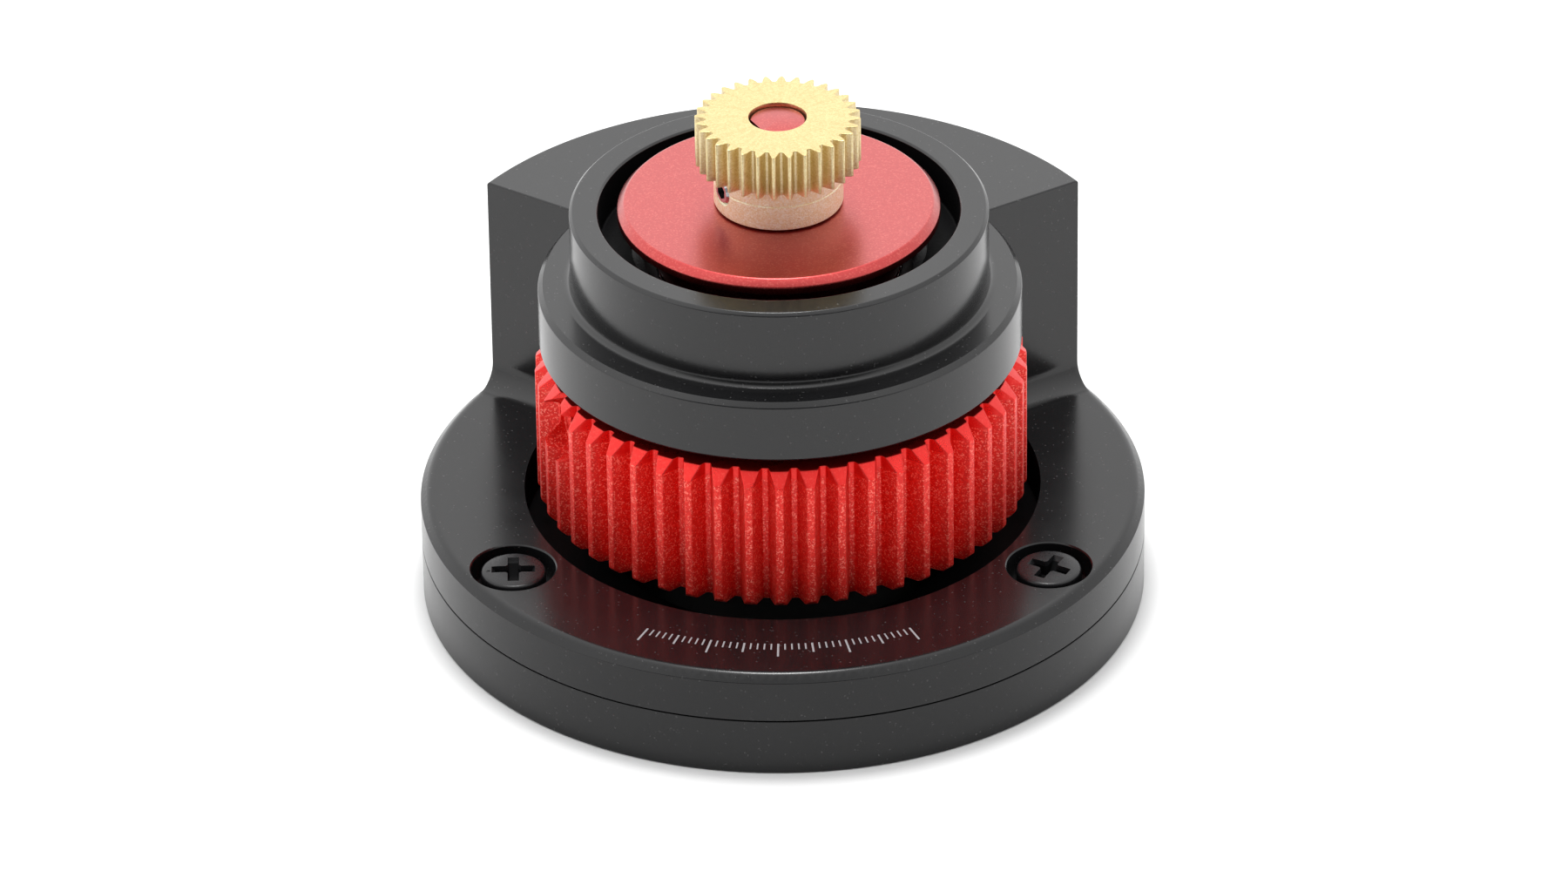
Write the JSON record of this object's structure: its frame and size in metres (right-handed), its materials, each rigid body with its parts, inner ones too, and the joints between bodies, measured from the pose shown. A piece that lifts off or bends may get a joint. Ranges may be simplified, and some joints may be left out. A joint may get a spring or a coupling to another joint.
{
  "type": "telescope focus drive adapter",
  "caption": "Round layered flange with a rear pillar and a bearing collar, carrying a toothed hand knob, a disc with a D-shaft and a brass pinion, for driving a telescope's focuser.",
  "frame": {"origin": "centre of the flange's underside, on the knob's axis", "axes": "+Z along the knob's axis towards the pinion, +Y towards the rear pillar, -Y towards the open front"},
  "size_m": [0.08, 0.08, 0.0587],
  "materials": {
    "black_anodise": "bead-blasted, black anodised, satin",
    "red_anodise": "fine blasted, red anodised, satin",
    "brass": "turned",
    "bearing_steel": "ground and polished",
    "black_steel": "black oxide",
    "seal_rubber": "matt",
    "cage_brass": "stamped"
  },
  "bodies": {
    "frame": {"housing": "black_anodise", "base_ring": "black_anodise", "flange_screw_1": "black_steel", "flange_screw_2": "black_steel", "rear_screw": "black_steel", "retaining_ring": "black_steel", "outer_spacer": "black_anodise", "lower_outer_race": "bearing_steel", "lower_lower_seal": "seal_rubber", "lower_upper_seal": "seal_rubber", "upper_outer_race": "bearing_steel", "upper_lower_seal": "seal_rubber", "upper_upper_seal": "seal_rubber"},
    "rotor": {"focus_knob": "red_anodise", "knob_grub_screw_1": "black_steel", "knob_grub_screw_2": "black_steel", "drive_rotor": "red_anodise", "pinion": "brass", "pinion_grub_screw": "black_steel", "shaft_coupler": "brass", "coupler_pin": "bearing_steel", "inner_spacer": "black_anodise", "lower_inner_race": "bearing_steel", "upper_inner_race": "bearing_steel"},
    "lower_cage": {"lower_cage": "cage_brass", "lower_ball_1": "bearing_steel", "lower_ball_2": "bearing_steel", "lower_ball_3": "bearing_steel", "lower_ball_4": "bearing_steel", "lower_ball_5": "bearing_steel", "lower_ball_6": "bearing_steel", "lower_ball_7": "bearing_steel", "lower_ball_8": "bearing_steel", "lower_ball_9": "bearing_steel", "lower_ball_10": "bearing_steel"},
    "upper_cage": {"upper_cage": "cage_brass", "upper_ball_1": "bearing_steel", "upper_ball_2": "bearing_steel", "upper_ball_3": "bearing_steel", "upper_ball_4": "bearing_steel", "upper_ball_5": "bearing_steel", "upper_ball_6": "bearing_steel", "upper_ball_7": "bearing_steel", "upper_ball_8": "bearing_steel", "upper_ball_9": "bearing_steel", "upper_ball_10": "bearing_steel"}
  },
  "joints": [
    {"name": "rotor_spin", "type": "hinge", "parent": "frame", "child": "rotor", "pos_m": [0, 0, 0], "axis": [0, 0, 1], "continuous": true},
    {"name": "lower_cage_spin", "type": "hinge", "parent": "frame", "child": "lower_cage", "pos_m": [0, 0, 0.03415], "axis": [0, 0, 1], "continuous": true},
    {"name": "upper_cage_spin", "type": "hinge", "parent": "frame", "child": "upper_cage", "pos_m": [0, 0, 0.03905], "axis": [0, 0, 1], "continuous": true}
  ],
  "couplings": [
    {"joint": "lower_cage_spin", "follows": "rotor_spin", "ratio": 0.4684},
    {"joint": "upper_cage_spin", "follows": "rotor_spin", "ratio": 0.4684}
  ]
}
